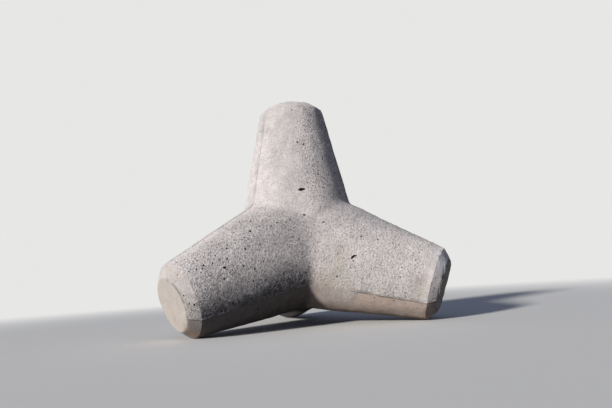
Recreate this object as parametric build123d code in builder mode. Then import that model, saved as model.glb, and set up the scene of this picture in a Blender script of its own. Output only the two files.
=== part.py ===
from build123d import *
from math import acos, cos, degrees, radians, sin, tan
import os

# A concrete tetrapod: four equal tapering legs that meet in one point, cast in one pour.
# It stands on three of its legs and the fourth points straight up.
# The origin is the point where the axes of the legs meet, which is also the centre of mass.
# Lengths are in millimetres and angles in degrees.

# A leg
LEG_REACH = 1170.0        # from the point where the axes meet to the flat end of a leg
END_RADIUS = 189.0        # the flat disc at the end
BEVEL_WIDTH = 76.0        # the ring round the disc that slopes back, measured across the leg
BEVEL_LENGTH = 61.0       # the same ring, measured along the leg
LEG_TAPER = 12.0          # the angle between a leg's side and its axis

# Worn edges, and the rounded corners inside the mould
RIM_ROUND = 7.0           # between the disc and the bevel
SHOULDER_ROUND = 16.0     # between the bevel and the side of the leg
CREASE_ROUND = 24.0       # in the crease where two legs run into each other

# The raised line that is left where two shells of the mould met
SEAM_WIDTH = 14.0
SEAM_HEIGHT = 4.0
SEAM_FALL = 22.0          # the angle at which it falls away from its middle to both sides
SEAM_END_GAP = 6.0        # from the flat end of the leg back to the end of the line

# The axes all stand at the same angle to each other, and its cosine is minus a third.
AXIS_ANGLE = degrees(acos(-1 / 3))
LOWER_LEG_AZIMUTHS = (90.0, 210.0, 330.0)
top_axis = Vector(0, 0, 1)
leg_axes = [top_axis]
for azimuth in LOWER_LEG_AZIMUTHS:
    outwards = Vector(cos(radians(azimuth)), sin(radians(azimuth)), 0)
    leg_axes.append(outwards * sin(radians(AXIS_ANGLE)) + top_axis * cos(radians(AXIS_ANGLE)))

# The side of a leg is a straight line. Its radius grows evenly towards the centre.
slope = tan(radians(LEG_TAPER))
shoulder_radius = END_RADIUS + BEVEL_WIDTH
shoulder_reach = LEG_REACH - BEVEL_LENGTH
centre_radius = shoulder_radius + slope * shoulder_reach


def side_distance(angle):
    """Distance from the centre to a leg's side, along a line at this angle to the leg's axis."""
    return centre_radius / (sin(radians(angle)) + slope * cos(radians(angle)))


# Three legs meet at a point opposite the fourth one. Nearer to the centre than that point
# the side of a leg lies inside its neighbours, so there a leg's own solid is plain.
three_leg_angle = 180 - AXIS_ANGLE
root_radius = side_distance(three_leg_angle) * sin(radians(three_leg_angle))
root_reach = side_distance(three_leg_angle) * cos(radians(three_leg_angle))

# One leg: half of its section, turned about its axis
with BuildPart() as leg:
    with BuildSketch(Plane.XZ) as leg_section:
        with BuildLine():
            Polyline(
                (0, 0),
                (root_radius, 0),
                (root_radius, root_reach),
                (shoulder_radius, shoulder_reach),
                (END_RADIUS, LEG_REACH),
                (0, LEG_REACH),
                close=True,
            )
        make_face()
        corners_off_axis = leg_section.vertices().sort_by(Axis.X)[2:]
        shoulder_corner, rim_corner = corners_off_axis.sort_by(Axis.Y)[-2:]
        fillet(rim_corner, RIM_ROUND)
        fillet(shoulder_corner, SHOULDER_ROUND)
    revolve(axis=Axis.Z)

# The block: four legs in one casting, with the creases between them rounded.
# A leg's own x direction is square to a neighbour, so the line where its turned side
# closes on itself runs clear of the points where creases meet.
with BuildPart() as tetrapod:
    for axis in leg_axes:
        neighbour = leg_axes[1] if axis is top_axis else top_axis
        leg_plane = Plane(origin=(0, 0, 0), x_dir=axis.cross(neighbour), z_dir=axis)
        with Locations(leg_plane.location):
            add(leg.part)
    crease_reach = side_distance(AXIS_ANGLE / 2)
    creases = [
        edge
        for edge in tetrapod.edges().filter_by(GeomType.BSPLINE)
        if edge.center().length < crease_reach + CREASE_ROUND
    ]
    fillet(creases, CREASE_ROUND)

# A seam runs over a leg's bevel, down its side, through the crease and up the next leg.
# It is drawn in the plane that holds both axes, where x points half way between them:
# the block's own outline there, moved outwards by the height of the seam.
half_angle = radians(AXIS_ANGLE / 2)
along_leg = Vector(cos(half_angle), sin(half_angle))
off_leg = Vector(sin(half_angle), -cos(half_angle))
seam_reach = LEG_REACH - SEAM_END_GAP - SEAM_HEIGHT
seam_radius = END_RADIUS + (LEG_REACH - seam_reach) * BEVEL_WIDTH / BEVEL_LENGTH

with BuildPart() as seam:
    with BuildSketch() as seam_outline:
        with BuildLine():
            Polyline(
                (0, 0),
                along_leg * seam_reach,
                along_leg * seam_reach + off_leg * seam_radius,
                along_leg * shoulder_reach + off_leg * shoulder_radius,
                (side_distance(AXIS_ANGLE / 2), 0),
            )
            mirror(about=Plane.XZ)
        make_face()
        offset(amount=SEAM_HEIGHT, kind=Kind.INTERSECTION)
        shoulder_corners = seam_outline.vertices().sort_by(Axis.X)[-2:]
        fillet(shoulder_corners, SHOULDER_ROUND + SEAM_HEIGHT)
        crease_corner = seam_outline.vertices().sort_by(Axis.X)[1]
        fillet(crease_corner, CREASE_ROUND - SEAM_HEIGHT)
    extrude(amount=SEAM_WIDTH / 2, both=True, taper=SEAM_FALL)

with BuildPart() as seams:
    for first, axis in enumerate(leg_axes):
        for other in leg_axes[first + 1:]:
            seam_plane = Plane(origin=(0, 0, 0), x_dir=axis + other, z_dir=axis.cross(other))
            with Locations(seam_plane.location):
                add(seam.part)

with tetrapod:
    add(seams.part)

tetrapod.part.label = "tetrapod"
os.makedirs("parts", exist_ok=True)
export_step(tetrapod.part, "parts/tetrapod.step")

print("solids:", len(tetrapod.part.solids()))
print("faces:", len(tetrapod.part.faces()))
print("valid:", tetrapod.part.is_valid)
print("volume in cubic metres:", tetrapod.part.volume / 1e9)
print(tetrapod.part.bounding_box())
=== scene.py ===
# %% [markdown]
# # A concrete tetrapod
# The object is one block of cast concrete. Four equal tapering legs meet in its middle, it
# stands on three of them and the fourth points straight up. Each leg ends in a flat disc
# with a sloping ring, the bevel, round it. The block was cast in a mould of four shells, and
# where two shells met a thin raised seam runs along the legs. Its skin is pitted where air
# bubbles lay against the mould, and years outdoors have stained it.
#
# The lesson builds that skin as one closed mesh out of arrays of numbers, sinks real holes
# into it, and paints it with one concrete material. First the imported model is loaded. It
# fixes where everything is, so nothing has to be fitted by eye.

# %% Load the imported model
from math import pi

import bpy
import numpy as np
from mathutils import Euler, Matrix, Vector
from mathutils.bvhtree import BVHTree


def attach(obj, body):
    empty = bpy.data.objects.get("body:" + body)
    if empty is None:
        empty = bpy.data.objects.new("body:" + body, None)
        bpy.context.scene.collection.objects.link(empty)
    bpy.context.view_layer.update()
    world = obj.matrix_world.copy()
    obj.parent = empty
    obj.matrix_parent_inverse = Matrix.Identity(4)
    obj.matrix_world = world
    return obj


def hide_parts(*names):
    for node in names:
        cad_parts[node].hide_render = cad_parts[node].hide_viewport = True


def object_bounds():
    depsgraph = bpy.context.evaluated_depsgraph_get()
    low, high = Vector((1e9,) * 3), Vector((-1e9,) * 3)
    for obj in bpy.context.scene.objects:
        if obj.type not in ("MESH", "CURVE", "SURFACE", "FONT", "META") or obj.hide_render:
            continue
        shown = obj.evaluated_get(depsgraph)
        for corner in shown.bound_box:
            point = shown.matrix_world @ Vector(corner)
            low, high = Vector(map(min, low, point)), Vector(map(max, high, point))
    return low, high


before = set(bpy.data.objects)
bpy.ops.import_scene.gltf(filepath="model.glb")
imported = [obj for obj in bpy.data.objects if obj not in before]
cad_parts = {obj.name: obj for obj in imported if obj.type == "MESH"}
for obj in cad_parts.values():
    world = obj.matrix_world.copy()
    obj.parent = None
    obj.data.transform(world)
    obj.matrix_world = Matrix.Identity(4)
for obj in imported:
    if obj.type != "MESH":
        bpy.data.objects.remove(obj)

cad_low, cad_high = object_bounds()
print("the block's box, in metres:", np.round(cad_low, 4), np.round(cad_high, 4))

# %% [markdown]
# ## The camera
# The photograph was taken from low down, nearly at the foot of the block and a little to
# the right of its middle, looking slightly up. Such a camera could be placed by hand until
# the picture looks right. Here its place, its turn and its lens were solved from the outline
# of the block in the photograph, so a pixel of the photograph and a point on the block
# belong together. That helps later, when single holes and stains are put where they are.

# %% Camera
PHOTO_WIDTH = 612
PHOTO_HEIGHT = 408
SENSOR_WIDTH = 36.0
CAMERA_LENS = 28.363
CAMERA_PLACE = (-0.5239, -3.8982, -0.3150)
CAMERA_TURN = (99.536, 3.834, -8.055)      # degrees about x, y and z

camera_data = bpy.data.cameras.new("camera")
camera_data.sensor_width = SENSOR_WIDTH
camera_data.lens = CAMERA_LENS
camera_data.clip_end = 200.0
camera = bpy.data.objects.new("camera", camera_data)
bpy.context.scene.collection.objects.link(camera)
camera.location = CAMERA_PLACE
camera.rotation_euler = Euler([np.radians(turn) for turn in CAMERA_TURN])
bpy.context.scene.camera = camera
bpy.context.view_layer.update()
print("the camera stands", round(CAMERA_PLACE[2] - cad_low[2], 3), "m above the floor")

# %% [markdown]
# ## The measures of a leg
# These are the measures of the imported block, in metres. The side of a leg is a straight
# line that leans in by the taper, so the radius of the leg falls evenly with the reach,
# which is the distance from the middle of the block along the leg's own axis.

# %% Measures
LEG_REACH = 1.170
END_RADIUS = 0.189
BEVEL_WIDTH = 0.076
BEVEL_LENGTH = 0.061
TAPER = np.radians(12.0)
RIM_ROUND = 0.007
SHOULDER_ROUND = 0.016

shoulder_reach = LEG_REACH - BEVEL_LENGTH
shoulder_radius = END_RADIUS + BEVEL_WIDTH
slope = np.tan(TAPER)
centre_radius = shoulder_radius + slope * shoulder_reach

AXIS_ANGLE = np.arccos(-1 / 3)
LOWER_AZIMUTHS = np.radians([90.0, 210.0, 330.0])
lower_axes = np.stack([
    np.sin(AXIS_ANGLE) * np.cos(LOWER_AZIMUTHS),
    np.sin(AXIS_ANGLE) * np.sin(LOWER_AZIMUTHS),
    np.full(3, np.cos(AXIS_ANGLE)),
], axis=1)
leg_axes = np.vstack([(0.0, 0.0, 1.0), lower_axes])
TOP, BACK, LEFT, RIGHT = range(4)
print("a leg is", round(2 * centre_radius, 3), "m thick where the axes meet")

# %% [markdown]
# ## The columns of the grid
# The side of a leg is a surface of two parameters: a column says how far round the leg a
# point is, a row says how far out. On the real block the seams are only 14 mm wide, so
# evenly spread columns would miss them. A finer grid everywhere would cost ten times the
# faces. Instead nine columns stand close together at each of the three seams, always at
# the same distance in millimetres from the seam's middle, and the others share the rest of
# the way round. The pattern is its own mirror image on both sides of a seam, so the
# columns of two neighbouring legs meet point on point in the crease between them.

# %% Columns
SEAM_STEPS = np.array([0.0, 0.0035, 0.0070, 0.0110, 0.0150])    # sideways from a seam's middle
HALF_COLUMNS = 18
COLUMNS = 6 * HALF_COLUMNS
THIRD = 2 * pi / 3


def column_angles(radius):
    """Angle of each column round the leg, for rows of the given radius.

    Formula: a step beside the seam is its length divided by the radius. From the last such
    step the angles grow evenly to 60 degrees, half way to the next seam. Mirrored, they
    fill a third of the way round, and three such thirds and the closing column follow.
    """
    close = SEAM_STEPS / radius[:, None]
    even = np.linspace(0, 1, HALF_COLUMNS + 2 - len(SEAM_STEPS))[1:]
    spread = close[:, -1:] + (pi / 3 - close[:, -1:]) * even
    half = np.hstack([close, spread])
    third = np.hstack([half, THIRD - half[:, -2:0:-1]])
    closing = np.full((len(radius), 1), 2 * pi)
    return np.hstack([third, third + THIRD, third + 2 * THIRD, closing]) + LOWER_AZIMUTHS[0]


print("columns round a leg:", COLUMNS)

# %% [markdown]
# ## The crease between two legs
# A row starts in the crease where the leg runs into its neighbour. Two equal legs meet in
# the plane half way between their axes, so the angle between the crease and a leg's own
# axis follows from where round the leg we are.

# %% The foot of each column
def crease_reach(angle):
    """Reach at which a column meets the crease.

    Formula: the tangent of the angle between the axis and the crease is the root of two,
    divided by the cosine of the way round from the nearest seam. The side of the leg is met
    at the centre radius divided by (sine plus slope times cosine) of that angle.
    """
    from_seam = (angle - LOWER_AZIMUTHS[0] + THIRD / 2) % THIRD - THIRD / 2
    tilt = np.arctan(np.sqrt(2) / np.cos(from_seam))
    return centre_radius * np.cos(tilt) / (np.sin(tilt) + slope * np.cos(tilt))


seam_foot = crease_reach(LOWER_AZIMUTHS[0])
print("a seam meets the crease at a reach of", round(seam_foot, 3), "m")

# %% [markdown]
# ## The profile of a leg's end
# The mould gave the end of a leg a bevel, and wear has rounded its two edges. A Bevel
# modifier could round them, but it would also cut up the columns. The profile is short, so
# its points are worked out: an arc in each corner and a few rows on the bevel between.

# %% End profile
BEVEL_TILT = np.arctan2(BEVEL_WIDTH, BEVEL_LENGTH)


def rounded_corner(corner, radius, normal_from, normal_to, steps):
    """Arc in a corner of the profile, as rows of (reach, radius).

    Formula: the normals turn evenly from one line's to the other's. The arc's centre lies
    inside both lines by the arc's radius, and each point stands that radius off it.
    """
    turn = np.linspace(normal_from, normal_to, steps + 1)[:, None]
    normals = np.hstack([np.sin(turn), np.cos(turn)])
    inwards = (normals[0] + normals[-1]) / (1 + normals[0] @ normals[-1])
    return np.array(corner) + (normals - inwards) * radius


shoulder_corner = (shoulder_reach, shoulder_radius)
shoulder_arc = rounded_corner(shoulder_corner, SHOULDER_ROUND, TAPER, BEVEL_TILT, 4)
rim_arc = rounded_corner((LEG_REACH, END_RADIUS), RIM_ROUND, BEVEL_TILT, pi / 2, 3)
bevel_rows = np.linspace(shoulder_arc[-1], rim_arc[0], 7)[1:-1]
end_profile = np.vstack([shoulder_arc[1:], bevel_rows, rim_arc])
print("rows in the end profile:", len(end_profile))

# %% [markdown]
# ## The side of the upright leg
# Now rows and columns meet. Near the crease the rows are closer together, because the skin
# turns there: four narrow steps, three wider ones, and full steps from there on. The result
# is an array of points, one for each row and column, and no loop runs over them: every line
# works on the whole array.

# %% Side grid
row_steps = np.r_[np.full(4, 0.25), np.full(3, 0.6), np.full(33, 1.0)]
row_share = np.r_[0.0, np.cumsum(row_steps) / row_steps.sum()]

side_end = shoulder_arc[0, 0]
side_radius = centre_radius - slope * (seam_foot + (side_end - seam_foot) * row_share)
side_angle = column_angles(side_radius)
side_foot = crease_reach(side_angle)
side_reach = side_foot + (side_end - side_foot) * row_share[:, None]

tail_angle = column_angles(end_profile[:, 1])
tail_reach = np.repeat(end_profile[:, :1], COLUMNS + 1, axis=1)
tail_radius = np.repeat(end_profile[:, 1:], COLUMNS + 1, axis=1)

angle = np.vstack([side_angle, tail_angle])
reach = np.vstack([side_reach, tail_reach])
radius = np.vstack([centre_radius - slope * side_reach, tail_radius])
side_grid = np.stack([radius * np.cos(angle), radius * np.sin(angle), reach], axis=2)
ROWS = len(side_grid) - 1
print("side of a leg:", ROWS, "rows of", COLUMNS, "cells")

# %% [markdown]
# ## Rounding the creases
# In the mould the corner between two legs was rounded, with a radius of about 24 mm. On a
# mesh a Bevel modifier would fail here, where three creases run into one point. So the
# block is described by one number at every point of space, its gap: how far the point is
# from the nearest leg. Where a point is near two or three legs at once their gaps are
# blended, and the skin bulges out of the corner. Each point of the grid then slides along
# its own ray from the middle of the block until the blended gap is nought. Halving the
# interval thirty times finds that place for all points at once. A blend of 26 mm fills the
# corner as a round of 24 mm does.

# %% Crease rounding
CREASE_ROUND = 0.026
ROOT_REACH = crease_reach(LOWER_AZIMUTHS[0] + THIRD / 2)
HALVINGS = 30


def blended_gap(points):
    """How far points are from the skin of the rounded block, negative inside it.

    Formula: a leg's gap is its distance from the axis less its radius there, times the
    cosine of the taper, and a leg stops at its root. Each gap's shortfall is what it lacks
    to the crease round. The blended gap is the crease round, or the smallest gap if that is
    more, less the root of the sum of the squared shortfalls.
    """
    along = points @ leg_axes.T
    away = np.sqrt(np.maximum((points**2).sum(-1)[..., None] - along**2, 0))
    gaps = (away - centre_radius + slope * along) * np.cos(TAPER)
    gaps = np.maximum(gaps, ROOT_REACH - along)
    shortfall = np.maximum(CREASE_ROUND - gaps, 0)
    return np.maximum(CREASE_ROUND, gaps.min(-1)) - np.sqrt((shortfall**2).sum(-1))


def slid_to_skin(points):
    """The points, moved outwards along their rays from the middle to a blended gap of nought."""
    distance = np.linalg.norm(points, axis=-1, keepdims=True)
    rays = points / distance
    near, far = distance, distance + CREASE_ROUND
    for _ in range(HALVINGS):
        middle = (near + far) / 2
        outside = blended_gap(rays * middle)[..., None] > 0
        far = np.where(outside, middle, far)
        near = np.where(outside, near, middle)
    return rays * near


straight_rows = len(row_share)
plain_side = side_grid[:straight_rows].copy()
side_grid[:straight_rows] = slid_to_skin(plain_side)
moved = np.linalg.norm(side_grid[:straight_rows] - plain_side, axis=2)
print("the crease is filled by up to", round(moved.max() * 1000, 1), "mm")

# %% [markdown]
# ## The disc at the end
# A disc could be a fan of triangles round one point, but a fan shades badly and no hole can
# be sunk into its thin slices. A square grid that is bent round keeps all cells alike. Its
# outer ring has exactly as many points as the leg has columns, so both fit together.

# %% End disc
DISC_CELLS = COLUMNS // 4


def bent_square(rim_points):
    """A square grid of points bent into a disc inside the given rim.

    Formula: a point's ring is the larger of its two distances from the middle. Along its
    ring it goes round by the smaller divided by the larger, an eighth of a turn for one.
    Towards the rim the even angles give way to those of the leg's columns.
    """
    rim_angle = np.unwrap(np.arctan2(rim_points[:, 1], rim_points[:, 0]))
    line = np.linspace(-1, 1, DISC_CELLS + 1)
    x, y = np.meshgrid(line, line, indexing="ij")
    ring = np.maximum(abs(x), abs(y))
    wide = abs(x) >= abs(y)
    smaller_by_larger = np.where(wide, y, x) / np.where(wide, x, y)
    sideways = smaller_by_larger * pi / 4 + pi * (x < 0)
    upwards = pi / 2 - smaller_by_larger * pi / 4 + pi * (y < 0)
    place = (np.where(wide, sideways, upwards) / (2 * pi) * COLUMNS + 0.5) % COLUMNS
    even = place * 2 * pi / COLUMNS + rim_angle[0]
    uneven = np.interp(place, np.arange(COLUMNS + 1), rim_angle)
    turn = even + (uneven - even) * ring**4
    rim_radius = np.hypot(*rim_points[0, :2])
    from_middle = rim_radius * ring
    height = np.full_like(ring, rim_points[0, 2])
    return np.stack([from_middle * np.cos(turn), from_middle * np.sin(turn), height], axis=2)


disc_grid = bent_square(side_grid[-1])
print("end disc:", DISC_CELLS, "by", DISC_CELLS, "cells")

# %% [markdown]
# ## Four legs in one skin
# The block looks the same from the end of each leg. Half a turn about the line between two
# axes swaps these two legs, so three such turns carry the upright leg's grids to the others.
# The legs then share points in their creases. Left double, those would show as black lines,
# because each side would shade on its own. They are found by rounding every point to a
# tenth of a millimetre and keeping one of each, as Merge by Distance does.

# %% Weld the grids
halfway = leg_axes + leg_axes[TOP]
halfway[TOP] = leg_axes[TOP]
halfway = halfway / np.linalg.norm(halfway, axis=1, keepdims=True)
leg_turns = 2 * halfway[:, :, None] * halfway[:, None, :] - np.eye(3)
leg_turns[TOP] = np.eye(3)

sides = np.einsum("kab,rcb->krca", leg_turns, side_grid)
discs = np.einsum("kab,rcb->krca", leg_turns, disc_grid)
loose = np.vstack([sides.reshape(-1, 3), discs.reshape(-1, 3)])

WELD_STEP = 0.0001
_, kept, welded = np.unique(
    np.rint(loose / WELD_STEP).astype(np.int64), axis=0, return_index=True, return_inverse=True)
skin = loose[kept]
welded = welded.reshape(-1)
side_index = welded[:sides[..., 0].size].reshape(sides.shape[:3])
disc_index = welded[sides[..., 0].size:].reshape(discs.shape[:3])
print("points before and after welding:", len(loose), len(skin))

# %% [markdown]
# ## Faces and normals
# A cell of a grid becomes a face with four corners. Blender takes the side from which the
# corners run anticlockwise as the front, so their order decides that all faces point out of
# the block. The normals of the points, the directions straight off the skin, come from the
# faces. The next steps push the points in and out along them.

# %% Faces and normals
def cells(index):
    """The four corners of every cell of a grid of point numbers, anticlockwise from outside."""
    return np.stack([
        index[..., :-1, :-1], index[..., :-1, 1:], index[..., 1:, 1:], index[..., 1:, :-1]
    ], axis=-1)


side_cells = cells(side_index)
disc_cells = cells(np.swapaxes(disc_index, 1, 2))
all_cells = np.vstack([side_cells.reshape(-1, 4), disc_cells.reshape(-1, 4)])


def point_normals(points, faces):
    """Unit normals: the cross product of each face's diagonals, summed over a point's faces."""
    corners = points[faces]
    across = np.cross(corners[:, 2] - corners[:, 0], corners[:, 3] - corners[:, 1])
    point = faces.reshape(-1)
    total = np.stack([
        np.bincount(point, np.repeat(across[:, axis], 4), len(points)) for axis in range(3)
    ], axis=1)
    return total / np.linalg.norm(total, axis=1, keepdims=True)


skin_normals = point_normals(skin, all_cells)
print("normals that point outwards:", round((np.sum(skin_normals * skin, axis=1) > 0).mean(), 3))

# %% [markdown]
# ## An uneven skin
# A steel mould is never quite true, so the light runs over a side in soft, broad patches.
# Its shells don't meet exactly either: one stands a few millimetres further out than its
# neighbour, which leaves a small step at each seam. A Noise texture with a Displace modifier
# could do that, but it would move the narrow seams too. A sum of cosines in random
# directions gives the same softness, as a plain formula of place, and it can be reused for
# everything on this block that comes in patches. The skin mostly sinks, by a few
# millimetres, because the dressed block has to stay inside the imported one.

# %% Unevenness
def patches(points, size, seed, terms=40):
    """Random soft patches of about one size: mean 0, spread 1, the same for the same place.

    Formula: a sum of cosines. Each takes its place along its own random direction, divided
    by its own length near the given size, and starts at its own random phase.
    """
    chance = np.random.default_rng(seed)
    directions = chance.normal(size=(terms, 3))
    directions /= np.linalg.norm(directions, axis=1, keepdims=True)
    lengths = size * chance.uniform(0.7, 1.4, (terms, 1))
    starts = chance.uniform(0, 2 * pi, terms)
    return np.cos(points @ (directions / lengths).T * 2 * pi + starts).sum(1) * np.sqrt(2 / terms)


def rise(value, low, high):
    """Smooth step: nought below low, one above high, three squares less two cubes between."""
    share = np.clip((value - low) / (high - low), 0, 1)
    return share * share * (3 - 2 * share)


MOULD_SWELL = 0.0016
SWELL_SIZE = 0.34
DENT_DEPTH = 0.0008
DENT_SIZE = 0.11
SUNK = 1.5                 # by how many spreads the patches are moved inwards
STANDING_HEIGHT = 0.05     # below this the block stays plain, so that it stands as it should
above_floor = rise(skin[:, 2] - cad_low[2], 0.0, STANDING_HEIGHT)
swell = MOULD_SWELL * (patches(skin, SWELL_SIZE, 11) - SUNK)
dents = DENT_DEPTH * (patches(skin, DENT_SIZE, 12) - SUNK)
lift = (swell + dents) * above_floor
print("the skin is uneven by", np.round(np.ptp(lift) * 1000, 1), "mm")

# %% [markdown]
# ## The steps between the shells
# Each shell of the mould is named after the leg that it doesn't touch: it lies opposite that
# one. The shell of a point is therefore the one whose leg's axis points away from it most.
# A share for each shell, which passes from one to the next within a few millimetres, makes
# the step at a seam steep but not a crack. Before the flat end of a leg the step runs out.

# %% Steps
SHELL_STEP = np.array([0.0, 0.0, -0.0015, 0.0080])    # opposite the top, back, left, right leg
STEP_WIDTH = 0.006
STEP_RUNS_OUT = 0.93 * LEG_REACH
along_axis = skin @ leg_axes.T
own_reach = along_axis.max(1)
shell_nearness = -along_axis / STEP_WIDTH
shell_share = np.exp(shell_nearness - shell_nearness.max(1, keepdims=True))
shell_share /= shell_share.sum(1, keepdims=True)
before_end = 1 - rise(own_reach, STEP_RUNS_OUT, LEG_REACH)
lift += shell_share @ SHELL_STEP * before_end * above_floor
lowest, highest = np.round([lift.min() * 1000, lift.max() * 1000], 1)
print("the skin lies", lowest, "to", highest, "mm off the plain form")

# %% [markdown]
# ## The seams
# Wet cement crept into the joints of the mould and set as a low ridge. On the real block
# it runs over the bevel, along the leg, through the crease and up the next leg. It is lifted
# out of the columns that were set close together: the height belongs to the column, its
# distance in columns from the nearest seam.

# %% Seams
SEAM_HEIGHTS = np.array([0.0042, 0.0034, 0.0010, 0.0, 0.0])
past_seam = np.arange(COLUMNS + 1) % (COLUMNS // 3)
columns_from_seam = np.minimum(past_seam, COLUMNS // 3 - past_seam)
ridge = np.interp(columns_from_seam, np.arange(len(SEAM_HEIGHTS)), SEAM_HEIGHTS)

ridge_rows = len(side_grid) - len(rim_arc)
seam_lift = np.zeros(len(skin))
seam_lift[side_index[:, :ridge_rows]] = ridge
print("points on the seams:", int((seam_lift > 0).sum()))

# %% [markdown]
# ## Where the seams are worn
# Patches decide where a seam is whole or worn. Two stretches differ. Low at the front, where
# the right leg starts, nothing is left of the seam, and further out on that leg it is low.
# On top of the left leg the seam ends half way out. Each stretch is found by the leg that it
# is on and the next leg that it runs to.

# %% Wear of the seams
WORN_SIZE = 0.06
LEAST_LEFT = 0.35             # of the seam's height, where it is worn most
WORN_AWAY_TO = 0.64           # the reach from which the right leg's front seam is there again
FRONT_SEAM_LOST = 0.45        # share of its height that this seam has lost all along
own_leg = along_axis.argmax(1)
near_left_leg = along_axis[:, LEFT] > np.maximum(along_axis[:, TOP], along_axis[:, BACK])
near_top = along_axis[:, TOP] > np.maximum(along_axis[:, BACK], along_axis[:, RIGHT])
front_seam = (own_leg == RIGHT) & near_left_leg
crest_seam = (own_leg == LEFT) & near_top

bare = front_seam * (1 - rise(own_reach, WORN_AWAY_TO - 0.08, WORN_AWAY_TO))
bare = np.maximum(bare, crest_seam * rise(own_reach, 0.45, 0.55))
worn = LEAST_LEFT + (1 - LEAST_LEFT) * rise(patches(skin, WORN_SIZE, 21), -0.9, 0.3)
worn *= 1 - bare
worn *= 1 - FRONT_SEAM_LOST * front_seam
lift += seam_lift * worn
print("the seams stand up to", round((seam_lift * worn).max() * 1000, 1), "mm proud")

# %% [markdown]
# ## Broken edges
# The rims of the discs are the thinnest edges of the block, and small pieces have broken
# off, most of all on the leg that reaches to the right. A chip is a shallow bite along the
# edge. The points near an edge sink where patches are strong, and the points of the disc
# and the bevel a few centimetres away stay where they are. The shoulder, the edge between
# the bevel and the side, is rubbed rounder on the two front legs. The numbers for each leg
# are in the order top, back, left, right.

# %% Chips
CHIP_DEPTH = 0.006
CHIP_WIDTH = 0.016
CHIP_SIZE = 0.055
EDGE_WEAR = np.array([0.30, 0.5, -0.3, 1.0])
SHOULDER_WEAR = np.array([0.0006, 0.0008, 0.0016, 0.0022])
SHOULDER_WEAR_WIDTH = 0.022


def bell(distance, width):
    """One at nought and falling off to both sides: e to the minus squared distance by width."""
    return np.exp(-(distance / width) ** 2)


own_radius = np.sqrt(np.maximum((skin**2).sum(1) - own_reach**2, 0))
to_rim = np.hypot(own_reach - LEG_REACH, own_radius - END_RADIUS)
to_shoulder = np.hypot(own_reach - shoulder_reach, own_radius - shoulder_radius)
edge_wear = EDGE_WEAR[own_leg]

rim_bite = rise(patches(skin, CHIP_SIZE, 31) + 1.2 * edge_wear, 1.0, 2.2)
rim_bite *= bell(to_rim, CHIP_WIDTH)
shoulder_bite = rise(patches(skin, CHIP_SIZE, 32) + 0.6 * edge_wear, 1.4, 2.4)
shoulder_bite *= bell(to_shoulder, CHIP_WIDTH) * above_floor
chipped = np.maximum(rim_bite, 0.7 * shoulder_bite)
lift -= CHIP_DEPTH * chipped
lift -= SHOULDER_WEAR[own_leg] * bell(to_shoulder, SHOULDER_WEAR_WIDTH) * above_floor
skin = skin + skin_normals * lift[:, None]
print("share of points that are chipped:", round((chipped > 0.2).mean(), 4))

# %% [markdown]
# ## Where a pixel of the photograph lies on the block
# To put a hole where the photograph has it, a ray is sent from the camera through the
# hole's pixel, and the place where it meets the skin is kept. From then on the hole belongs
# to the block and stays there from every other side.

# %% From pixel to skin
PIXELS_PER_UNIT = CAMERA_LENS / SENSOR_WIDTH * PHOTO_WIDTH
plain_skin = BVHTree.FromPolygons(skin.tolist(), all_cells.tolist())


def seen_at(x, y):
    """The point of the skin behind a pixel of the photograph, counted from its top left."""
    right = (x - PHOTO_WIDTH / 2) / PIXELS_PER_UNIT
    up = (PHOTO_HEIGHT / 2 - y) / PIXELS_PER_UNIT
    direction = camera.matrix_world.to_3x3() @ Vector((right, up, -1))
    return np.array(plain_skin.ray_cast(camera.location, direction)[0])


print("one metre away a metre is", round(PIXELS_PER_UNIT), "pixels wide")

# %% [markdown]
# ## Holes
# Air bubbles that lay against the mould left round holes with sharp edges, most of them 5 to
# 15 mm wide. As bump they would look painted on from the side, and Boolean cuts of some
# thousand spheres would take hours. Here a hole takes the place of a block of cells. The
# block's outer corners stay, and inside them the same small pattern of faces is set in
# every time: a rim, one or more rings that step down, and a deepest point. All holes of a
# kind are made in one go, as one array. First come the helpers that find places between the
# points of a grid, and the directions on the skin there.

# %% Places between the points of a grid
def on_grid(grid, leg, row, column):
    """Points between the points of a grid: the four around each, mixed by nearness."""
    low_row = np.minimum(row.astype(int), grid.shape[1] - 2)
    low_column = np.minimum(column.astype(int), grid.shape[2] - 2)
    r, c = (row - low_row)[..., None], (column - low_column)[..., None]
    lower = grid[leg, low_row, low_column], grid[leg, low_row, low_column + 1]
    upper = grid[leg, low_row + 1, low_column], grid[leg, low_row + 1, low_column + 1]
    first = lower[0] * (1 - c) + lower[1] * c
    second = upper[0] * (1 - c) + upper[1] * c
    return first * (1 - r) + second * r


def square_path(span):
    """Rows and columns on the way round a block of span by span cells, by half a cell."""
    walk = np.arange(0, 4 * span, 0.5)
    side, step = np.divmod(walk, span)
    row = np.choose(side.astype(int), [0 * step, step, span + 0 * step, span - step])
    column = np.choose(side.astype(int), [step, span + 0 * step, span - step, 0 * step])
    return row, column


def skin_directions(grid, leg, row, column, span):
    """Three unit vectors on a block of cells, square to each other.

    Formula: the first runs round the leg, along the block's first row. The third stands off
    the skin: it is the cross product of the block's diagonals. The second points outwards
    along the leg and is the cross product of the other two.
    """
    first, last = grid[leg, row, column], grid[leg, row + span, column + span]
    beside, beyond = grid[leg, row, column + span], grid[leg, row + span, column]
    off_skin = np.cross(last - first, beyond - beside)
    off_skin /= np.linalg.norm(off_skin, axis=-1, keepdims=True)
    round_leg = (beside - first) / np.linalg.norm(beside - first, axis=-1, keepdims=True)
    return round_leg, np.cross(off_skin, round_leg), off_skin


print("steps round a block of 2 by 2 cells:", len(square_path(2)[0]))

# %% [markdown]
# ## The outline of a hole
# The outline is an ellipse that leans to one side and is a little uneven. One hole in the
# photograph is hooked, so an outline can also be bent like a banana. It needs one point for
# every half cell on the way round the block, and these points have to come in the same order
# as seen from the middle of the hole.

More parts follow.
